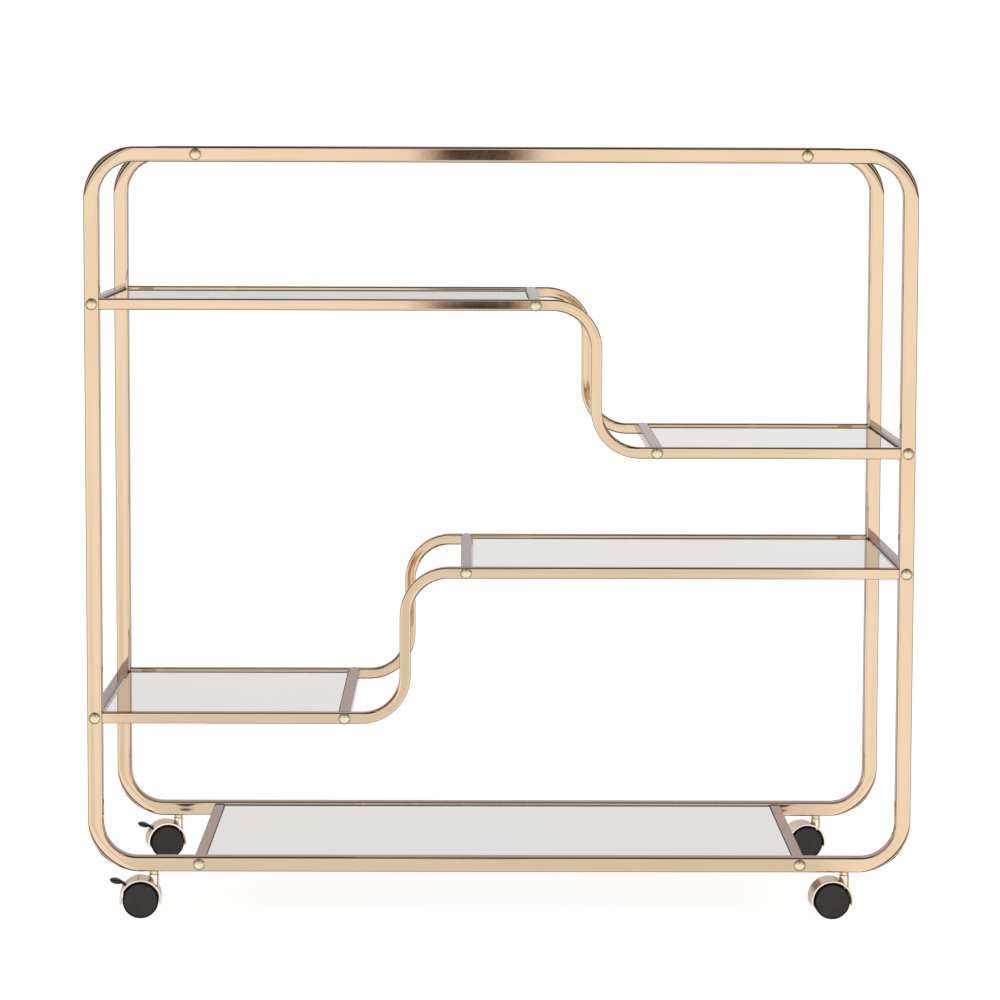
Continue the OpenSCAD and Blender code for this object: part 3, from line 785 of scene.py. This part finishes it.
class CART_OT_lugs(bpy.types.Operator):
    """Welded lugs under the mirrors, and the clear pads on them"""

    bl_idname = "cart.lugs"
    bl_label = "Lugs and pads"

    def execute(self, context):
        fittings = context.scene.cart_fittings
        pads = []
        for shelf in SHELVES + ("bottom",):
            mirror_low = node_box(f"{shelf}_mirror")[0]
            lugs = []
            for low, high in node_islands(f"{shelf}_shelf_lugs"):
                outside = low[1] if low[1] < 0 else high[1]
                free = [fittings.lug_corner, 0] if low[1] > 0 else [0, fittings.lug_corner]
                radii = [free[0], free[0], free[1], free[1]]
                lugs.append(plate(rectangle(low[0], high[0], low[1], high[1]), radii, 6,
                                  low[2], high[2], (high[2] - low[2]) / 6,
                                  lambda rows: rows))
                lugs.append(weld_bead(low, high, outside, fittings.weld_radius))
                middle = (low + high) / 2
                thick = mirror_low[2] - high[2]
                profile = bent_path([(0, 0), (5 * thick, 0), (5 * thick, thick), (0, thick)],
                                    [0, thick / 4, thick / 3, 0], 3)[0]
                origin = np.array([middle[0], middle[1], high[2]])
                pads.append(turned(profile, 28, origin, np.eye(3)))
            add_piece(f"{shelf}_lugs", lugs, "plated_gold", [f"{shelf}_shelf_lugs"])
        add_piece("clear_pads", pads, "clear_pad", ["mirror_pads"])
        return {"FINISHED"}


def weld_bead(low, high, y, radius):
    """Weld under a lug along its rail: a half round whose radius swells and narrows along
    X as one plus an eighth of the sine of its place, with tapered ends."""
    along = np.linspace(0, 1, 41)
    taper = np.sqrt(np.clip(1 - (2 * along - 1) ** 12, 0, 1))
    swell = radius * np.maximum(taper * (1 + np.sin(along * 16 * math.pi) / 8), 0.05)
    inward = -math.copysign(1, y)
    angle = np.linspace(0, math.pi / 2, 7)
    outline = np.vstack([np.column_stack([np.cos(angle), -np.sin(angle)]), [[0, 0]]])
    rows = np.empty((len(along), len(outline), 3))
    rows[..., 0] = (low[0] + (high[0] - low[0]) * along)[:, None]
    rows[..., 1] = y + inward * swell[:, None] * outline[:, 0]
    rows[..., 2] = low[2] + swell[:, None] * outline[:, 1]
    return grid(rows, close_columns=True, caps=True).facing_out()


class CART_OT_hidden_hardware(bpy.types.Operator):
    """Zinc finish for the plugs, nuts, rings, axles and pins, whose CAD shapes stay"""

    bl_idname = "cart.hidden_hardware"
    bl_label = "Hidden hardware"

    def execute(self, context):
        endings = ("_end_plugs", "_weld_nuts", "_snap_rings", "_axle", "_brake_pin")
        for name, node in frame["nodes"].items():
            if name.endswith(endings):
                for slot in node.material_slots:
                    slot.material = finish("bright_zinc")
        return {"FINISHED"}


class CART_OT_stems(bpy.types.Operator):
    """Caster stems: threaded end, collar and grooved pin"""

    bl_idname = "cart.stems"
    bl_label = "Stems"

    def execute(self, context):
        sizes = context.scene.cart_casters
        for caster in CASTERS:
            place = CasterPlace(caster)
            low, high = node_box(f"{caster}_stem")
            ring_low, ring_high = ring_heights()
            collar_top = node_box("front_hoop")[0][2]
            collar_bottom = node_box(f"{caster}_hood")[1][2]
            pin, collar = sizes.pin_radius, sizes.collar_radius
            groove = pin * 0.75
            thread = pin * 4 / 3
            corners = [(0, low[2]), (pin, low[2]), (pin, ring_low), (groove, ring_low),
                       (groove, ring_high), (pin, ring_high), (pin, collar_bottom),
                       (collar, collar_bottom), (collar, collar_top), (thread, collar_top),
                       (thread, high[2]), (0, high[2])]
            millimetres = [0, 0.5, 0, 0, 0, 0, 0, 0.4, 0.3, 0, 0.8, 0]
            radii = np.array(millimetres) / 1000
            profile = bent_path(corners, radii, 4)[0]
            stem = turned(profile, 48, place.foot, np.eye(3))
            add_piece(f"{caster}_stem_piece", [stem], "bolt_gold", [f"{caster}_stem"])
        return {"FINISHED"}


def ring_heights():
    """Lowest and highest level of the stems' snap rings, with a little room."""
    low, high = node_box("stem_snap_rings")
    room = (high[2] - low[2]) / 5
    return low[2] - room, high[2] + room


def sector_outline(radius, start, end, steps):
    """Corners of a pie slice about the axle: the centre, then points on its arc."""
    angle = np.linspace(start, end, steps)
    arc = np.column_stack([radius * np.cos(angle), radius * np.sin(angle)])
    return np.vstack([[[0, 0]], arc])


class CART_OT_hoods(bpy.types.Operator):
    """Caster hoods: curved shell, wall between the wheels, axle hub and stem socket"""

    bl_idname = "cart.hoods"
    bl_label = "Hoods"

    def execute(self, context):
        sizes = context.scene.cart_casters
        for caster in CASTERS:
            place = CasterPlace(caster)
            braked = f"{caster}_brake_lever" in frame["nodes"]
            self.add_shell(caster, place, sizes, braked)
            self.add_core(caster, place, sizes, braked)
        return {"FINISHED"}

    def add_shell(self, caster, place, sizes, braked):
        """Outer face of the hood on a cylinder about the axle, open where the brake lever
        passes, given its wall and rounded edges by modifiers."""
        radius = place.wheel_radius + sizes.hood_gap + sizes.hood_wall
        half = sizes.hood_half_width
        turns = np.linspace(-sizes.hood_end, math.pi + sizes.hood_end, 76)
        width = np.linspace(-half, half, 13)
        if braked:
            slot_side = sizes.slot_half_width
            turns = np.unique(np.append(turns, [sizes.slot_start, sizes.slot_end]))
            width = np.unique(np.append(width, [-slot_side, slot_side]))
        turn, across = np.meshgrid(turns, width, indexing="ij")
        local = np.stack([radius * np.cos(turn), across, radius * np.sin(turn)], axis=-1)
        shell = grid(place.put(local, place.axle))
        if braked:
            middle_turn = turn.ravel()[shell.faces[0]].mean(axis=1)
            middle_across = across.ravel()[shell.faces[0]].mean(axis=1)
            in_slot = ((middle_turn > sizes.slot_start) & (middle_turn < sizes.slot_end)
                       & (np.abs(middle_across) < slot_side))
            shell.faces = [shell.faces[0][~in_slot]]
        shell.facing(shell.points[shell.faces[0][0][0]] - place.axle)
        piece = add_piece(f"{caster}_hood_shell", [shell], "hood_gold", [f"{caster}_hood"],
                          f"{caster}_swivel")
        wall = piece.modifiers.new("Wall", "SOLIDIFY")
        wall.thickness = sizes.hood_wall
        wall.offset = -1
        edge = piece.modifiers.new("Rounded edges", "BEVEL")
        edge.width = sizes.hood_bevel
        edge.segments = 3
        edge.limit_method = "ANGLE"
        edge.angle_limit = SHARP_ANGLE
        edge.harden_normals = True

    def add_core(self, caster, place, sizes, braked):
        """Wall, hub, socket and, where there is a brake, the ears for its pin."""
        inner = place.wheel_radius + sizes.hood_gap + sizes.hood_wall / 2
        end = sizes.braked_web_end if braked else math.pi + sizes.hood_end
        half = sizes.web_thickness / 2
        outline = sector_outline(inner, -sizes.hood_end, end, 48)
        web = plate(outline, 0.0, 1, -half, half, SLIGHT, place.across_axle(place.axle))
        hub = sleeve(sizes.hub_bore, sizes.hub_radius, sizes.hub_half, sizes.hub_rounding, 4)
        axle_axes = np.vstack([place.x, place.z, place.y])
        top = node_box(f"{caster}_hood")[1][2]
        bore = sizes.pin_radius + sizes.bore_room
        corners = [(0, sizes.bore_floor), (bore, sizes.bore_floor), (bore, top),
                   (sizes.socket_radius, top), (sizes.socket_radius, sizes.socket_floor),
                   (0, sizes.socket_floor)]
        end_round = sizes.socket_rounding
        socket = bent_path(corners, [0, 0, SLIGHT, end_round, end_round, 0], 5)[0]
        parts = [web, turned(hub, 48, place.axle, axle_axes, closed=True),
                 turned(socket, 64, place.foot, np.eye(3))]
        if braked:
            parts += self.ears(sizes, caster, place)
        add_piece(f"{caster}_hood_core", parts, "hood_gold", [], f"{caster}_swivel")

    @staticmethod
    def ears(sizes, caster, place):
        """Two small plates, round at the brake's pin, that reach out to the shell."""
        pin = joint_place(f"{caster}_brake_press")
        out = (pin - place.axle) / np.linalg.norm(pin - place.axle)
        along = np.array([out @ place.x, out[2]])
        across = np.array([-along[1], along[0]])
        tip, reach, root, bend = sizes.ear_tip, sizes.ear_reach, sizes.ear_root, sizes.ear_round
        corners = [a * along + b * across
                   for a, b in ((-tip, -tip), (reach, -root), (reach, root), (-tip, tip))]
        near, far = sizes.ear_inside, sizes.ear_outside
        return [plate(corners, [bend, 0, 0, bend], 8, low, high, FAINT, place.across_axle(pin))
                for low, high in ((-far, -near), (near, far))]


class CART_OT_wheels(bpy.types.Operator):
    """Twin wheels: cup-shaped discs with a rounded tread and a recessed face"""

    bl_idname = "cart.wheels"
    bl_label = "Wheels"

    def execute(self, context):
        sizes = context.scene.cart_casters
        for caster in CASTERS:
            place = CasterPlace(caster)
            for side, sign in SIDES:
                node = f"{caster}_{side}_wheel"
                axis = np.array(joint_named(f"{node}_roll")["axis"])
                centre = joint_place(f"{node}_roll")
                half = place.half_extent(node)
                axes = np.vstack([place.x, place.z, sign * axis])
                lip = place.wheel_radius - 1.15 * sizes.tread_edge
                profile = self.profile(sizes, place.wheel_radius, half, lip)
                wheel = turned(profile, 96, centre, axes)
                tread = np.flatnonzero(profile[:, 0] > lip)[-1] + 1
                quads = wheel.faces[0].reshape(len(profile) - 1, -1, 4)
                wheel.faces = [quads[:tread].reshape(-1, 4), quads[tread:].reshape(-1, 4)]
                # The bore, the cup's inside, the rim and the tread take the tread finish, whose
                # near-black colour is painted shade; the face from the lip inwards keeps the
                # nylon.
                wheel.materials = [1, 0]
                add_piece(f"{node}_disc", [wheel], "wheel_black", [node], node)
        return {"FINISHED"}

    @staticmethod
    def profile(sizes, radius, half, lip):
        """(radius, height) from the end of the blind bore round the cup's inside, the rim
        and the tread to the middle of the face. Heights are from the wheel's middle."""
        plate_back = half - sizes.plate_wall
        face = half - sizes.face_recess
        bore, boss, bore_end = sizes.wheel_bore, sizes.boss_radius, half - sizes.bore_cover
        rim = radius - sizes.rim_wall
        corners = [(0, bore_end), (bore, bore_end), (bore, -half), (boss, -half),
                   (boss, plate_back), (rim, plate_back), (rim, -half), (radius, -half),
                   (radius, half), (lip, half), (lip - sizes.face_recess, face), (0, face)]
        radii = [0, 0, 0, SLIGHT, SOFT, SOFT, SLIGHT, SOFT, sizes.tread_edge, FAINT, FAINT, 0]
        return bent_path(corners, radii, 6)[0]


class CART_OT_brake_levers(bpy.types.Operator):
    """Brake levers: paddle and arm outside the hood, hub, shoe arm and shoe inside"""

    bl_idname = "cart.brake_levers"
    bl_label = "Brake levers"

    def execute(self, context):
        sizes = context.scene.cart_casters
        for caster in CASTERS:
            node = f"{caster}_brake_lever"
            if node not in frame["nodes"]:
                continue
            place = CasterPlace(caster)
            pin = joint_place(f"{caster}_brake_press")
            axes = np.vstack([place.x, place.z, place.y])
            half, reach = sizes.brake_hub_radius, sizes.shoe_reach
            thick, shoe_half = sizes.shoe_radius, sizes.shoe_half
            hub = sleeve(sizes.brake_hub_bore, half, half, SLIGHT, 3)
            shoe = bent_path(rectangle(0, thick, -shoe_half, shoe_half),
                             [0, SLIGHT, SLIGHT, 0], 3)[0]
            shoe_arm = plate(rectangle(reach / 3, reach, -thick, thick), FAINT, 2, -half,
                             half, SLIGHT, place.across_axle(pin))
            parts = [self.handle(sizes, place, pin), shoe_arm,
                     turned(hub, 40, pin, axes, closed=True),
                     turned(shoe, 24, pin + reach * place.x, axes)]
            add_piece(f"{node}_piece", parts, "lever_black", [node], f"{caster}_brake")
        return {"FINISHED"}

    @staticmethod
    def handle(sizes, place, pin):
        """Arm and paddle in one: rounded sections along a path that rises from the pin and
        flattens out. A section is (w sgn(c)|c|^p, t sgn(s)|s|^p) for c, s the cosine and
        sine round it, with w the half width and t the half thickness there."""
        paddle = sizes.paddle_length
        rise, flat = (np.array([math.cos(a), math.sin(a)])
                      for a in (sizes.arm_angle, sizes.paddle_angle))
        knee = sizes.arm_length * rise
        corners = [0.75 * sizes.brake_hub_radius * rise, knee, knee + paddle * flat]
        points, normals, _ = bent_path(corners, [0, sizes.knee_radius, 0], 10)
        travel = np.concatenate([[0], np.cumsum(np.hypot(*np.diff(points, axis=0).T))])
        total = travel[-1]
        crowding = 1.6  # sections stand closer together towards the tip
        s = total * (1 - np.linspace(1, 0, 49) ** crowding)
        path = np.column_stack([np.interp(s, travel, points[:, k]) for k in (0, 1)])
        normal = np.column_stack([np.interp(s, travel, normals[:, k]) for k in (0, 1)])
        u = np.clip((s - (total - paddle)) / paddle, -1, 1)
        oval = np.sqrt(np.clip(1 - (2 * u - 1) ** 2, 0, 1))
        half_width = np.maximum(sizes.arm_half_width * (u < 0.5),
                                sizes.paddle_half_width * oval)
        half_width = np.convolve(np.pad(half_width, 2, "edge"), np.full(5, 0.2), "valid")
        half_width[-1] = sizes.tip_half_width
        arm_end = np.clip(1 - (u - 0.75) / 0.25, 0, 1)
        thick = np.maximum(sizes.arm_half_thickness * np.sqrt(arm_end),
                           sizes.paddle_crown * oval * (u > 0))
        thick = np.convolve(np.pad(thick, 2, "edge"), np.full(5, 0.2), "valid")
        thick[-1] = sizes.tip_half_thickness
        turn = np.linspace(0, 2 * math.pi, 32, endpoint=False)
        squareness = 0.7
        c = np.sign(np.cos(turn)) * np.abs(np.cos(turn)) ** squareness
        v = np.sign(np.sin(turn)) * np.abs(np.sin(turn)) ** squareness
        rows = np.empty((len(s), len(turn), 3))
        rows[..., 0] = path[:, :1] + normal[:, :1] * thick[:, None] * v
        rows[..., 1] = half_width[:, None] * c
        rows[..., 2] = path[:, 1:] + normal[:, 1:] * thick[:, None] * v
        return grid(place.put(rows, pin), close_columns=True, caps=True).facing_out()


# ---- Stage ----

# Where the studio is dark. Each fade is a part of the direction, where the dark starts and
# where it is full.
DARK_ZONES = {
    "wall behind": (("z", 0.205, 0.30), ("y", 0.08, 0.16), ("y", 0.66, 0.56)),
    "ceiling": (("z", 0.80, 0.88), ("y", 0.36, 0.26), ("y", -0.40, -0.30)),
    "gap over the middle": (("z", 0.36, 0.48), ("y", 0.42, 0.32), ("y", -0.90, -0.80),
                            ("across", 0.35, 0.25)),
    "cards at the sides": (("depth", 0.26, 0.16), ("z", 0.35, 0.25)),
    "upper front corners": (("z", 0.12, 0.22), ("y", -0.62, -0.52), ("y", -0.05, -0.15),
                            ("across", 0.35, 0.45)),
    "camera's stand": (("height", 0.08, 0.055), ("y", 0.0, -0.1), ("aside", 0.018, 0.009)),
}
STAND_X = 0.002  # how far the camera's stand is to the right

# Where the studio's brightness changes: a part of the direction, the start and the end of
# the change, and the values there, from none to full if they aren't given.
CHANGES = {
    "above the skirting": ("z", 0.045, 0.075, 0.0, 0.16),
    "onto the sheet": ("z", 0.0, -0.03, 0.70, 0.90),
    "low down": ("z", -0.03, -0.21, 0.0, 0.40),
    "in the middle": ("across", 0.105, 0.085),
    "high up": ("z", 0.03, 0.10, 0.0, 0.28),
    "in front": ("y", 0.1, -0.1),
}
FRONT_BRIGHTNESS = 1.14   # of the front wall, level with the cart
DARK_SHARE = 0.94         # share of the light that a dark zone takes away
WARM = (1.0, 0.975, 0.945, 1)
BROWN = (1.0, 0.66, 0.60, 1)


def glowing_sheet(glow):
    """The light table's material, lit from below with slow warm and cool drifts."""
    material = finish("light_table_sheet")
    n = Nodes(material.node_tree, "Object")
    drift = n.add("ShaderNodeValToRGB", Fac=n.noise(1.6, 3.0))
    warm, white = drift.color_ramp.elements
    warm.position, warm.color = 0.35, (1.0, 0.97, 0.92, 1)
    white.position, white.color = 0.62, (1.0, 1.0, 1.0, 1)
    inputs = n.tree.nodes["Principled BSDF"].inputs
    n.put(inputs["Emission Color"], drift.outputs["Color"])
    n.put(inputs["Emission Strength"], glow)
    return material


def add_floor(stage):
    """Flat floor, whose edge is far outside the view and which reflections don't see."""
    half = stage.floor_half_size
    line = np.linspace(-half, half, 5)
    x, y = np.meshgrid(line, line, indexing="ij")
    surface = grid(np.stack([x, y, np.zeros_like(x)], axis=-1))
    surface.facing(np.array([0.0, 0.0, 1.0]))
    floor = bpy.data.objects.new("studio_floor", mesh_from("studio_floor", [surface]))
    floor.data.materials.append(glowing_sheet(stage.table_glow))
    floor.visible_glossy = False
    bpy.context.scene.collection.objects.link(floor)


def add_camera(scene, stage):
    """Camera whose axes are the line of sight f, the right r turned by the roll, and the
    up r x f turned the same."""
    turn, pitch, roll = stage.camera_turn, stage.camera_pitch, stage.camera_roll
    forward = np.array([math.sin(turn) * math.cos(pitch), math.cos(turn) * math.cos(pitch),
                        -math.sin(pitch)])
    level = np.array([math.cos(turn), -math.sin(turn), 0.0])
    up = np.cross(level, forward)
    right = math.cos(roll) * level + math.sin(roll) * up
    above = -math.sin(roll) * level + math.cos(roll) * up
    data = bpy.data.cameras.new("studio_camera")
    data.sensor_width = stage.sensor
    data.lens = stage.lens
    data.clip_end = 60
    camera = bpy.data.objects.new("studio_camera", data)
    axes = Matrix(np.column_stack([right, above, -forward]).tolist()).to_4x4()
    camera.matrix_world = Matrix.Translation(stage.camera_place) @ axes
    scene.collection.objects.link(camera)
    scene.camera = camera


class CART_OT_stage(bpy.types.Operator):
    """Pale floor, even studio light with darker gaps for reflections, and the camera"""

    bl_idname = "cart.stage"
    bl_label = "Stage"

    def execute(self, context):
        scene = context.scene
        stage = scene.cart_stage
        add_floor(stage)
        add_camera(scene, stage)
        self.add_world(scene, stage)
        scene.view_settings.view_transform = "Standard"
        return {"FINISHED"}

    def add_world(self, scene, stage):
        """White light all round. Reflections see a studio instead, worked out from the
        direction (x, y, z): a front wall that is brightest level with the cart, a wall
        behind that is brighter above its skirting, and the dark zones over both. A zone is
        the product of its fades."""
        world = bpy.data.worlds.new("studio_light")
        scene.world = world
        world.use_nodes = True
        room = Room(world.node_tree)
        darkness = 0.0
        for fades in DARK_ZONES.values():
            zone = 1.0
            for name, begin, full in fades:
                zone = room.math("MULTIPLY", zone, room.fade(room.part(name), begin, full))
            darkness = room.math("MAXIMUM", darkness, zone)
        change = {name: room.fade(room.part(part), *values)
                  for name, (part, *values) in CHANGES.items()}
        wall = room.math("ADD", change["above the skirting"], change["onto the sheet"])
        low = room.math("MULTIPLY", change["low down"], change["in the middle"])
        front = room.math("MULTIPLY", change["in front"], room.math(
            "SUBTRACT", FRONT_BRIGHTNESS, room.math("ADD", low, change["high up"])))
        shown = room.math("SUBTRACT", 1.0, room.math("MULTIPLY", darkness, DARK_SHARE))
        studio = room.math("MULTIPLY", room.math("MAXIMUM", wall, front), shown)
        room.light(studio, darkness, stage.fill_strength)


class Room(Nodes):
    """The world's nodes, which work out a brightness from a direction."""

    def __init__(self, tree):
        super().__init__(tree, "Generated")
        split = self.add("ShaderNodeSeparateXYZ", Vector=self.place)
        self.parts = dict(zip("xyz", split.outputs))

    def part(self, name):
        """A part of the direction: x, y, z, the size of one of them, or how far x is from
        the camera's stand."""
        if name not in self.parts:
            source = {"across": "x", "depth": "y", "height": "z"}.get(name)
            value = (self.part(source) if source
                     else self.math("SUBTRACT", self.part("x"), STAND_X))
            self.parts[name] = self.math("ABSOLUTE", value)
        return self.parts[name]

    def math(self, operation, *sources):
        """Math node on numbers or outputs."""
        node = self.add("ShaderNodeMath")
        node.operation = operation
        for socket, source in zip(node.inputs, sources):
            self.put(socket, source)
        return node.outputs[0]

    def light(self, studio, darkness, fill):
        """Background: the studio for reflections, warm in slow drifts and brown where it is
        dark, and the even fill for everything else."""
        glossy = self.add("ShaderNodeLightPath").outputs["Is Glossy Ray"]
        drift = self.fade(self.noise(9.0, 3.0), 0.35, 0.65)
        tone = self.mix("RGBA", self.math("MULTIPLY", drift, glossy), (1, 1, 1, 1), WARM)
        shade = self.mix("RGBA", self.math("MULTIPLY", darkness, glossy), tone, BROWN)
        inputs = self.tree.nodes["Background"].inputs
        self.put(inputs["Color"], shade)
        self.put(inputs["Strength"], self.mix("FLOAT", glossy, fill, studio))


OPERATORS = (
    CART_OT_hoops, CART_OT_step_rails, CART_OT_crossbars, CART_OT_cap_bolts,
    CART_OT_mirrors, CART_OT_lugs, CART_OT_hidden_hardware, CART_OT_stems, CART_OT_hoods,
    CART_OT_wheels, CART_OT_brake_levers, CART_OT_stage,
)


class CART_PT_panel(bpy.types.Panel):
    """Lists the operators that build the cart"""

    bl_idname = "CART_PT_panel"
    bl_label = "Bar Cart"
    bl_space_type = "VIEW_3D"
    bl_region_type = "UI"
    bl_category = "Bar Cart"

    def draw(self, context):
        for operator in OPERATORS:
            self.layout.operator(operator.bl_idname)


CLASSES = (*SETTINGS.values(), *OPERATORS, CART_PT_panel)


def register():
    """Registers the classes and hangs the settings on the scene."""
    for item in CLASSES:
        bpy.utils.register_class(item)
    for name, group in SETTINGS.items():
        setattr(bpy.types.Scene, name, PointerProperty(type=group))


def unregister():
    """Takes the settings and the classes away again."""
    for name in SETTINGS:
        delattr(bpy.types.Scene, name)
    for item in reversed(CLASSES):
        bpy.utils.unregister_class(item)


def main():
    """Builds every piece."""
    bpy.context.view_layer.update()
    register()
    for operator in OPERATORS:
        group, name = operator.bl_idname.split(".")
        getattr(getattr(bpy.ops, group), name)()


if __name__ == "__main__":
    main()
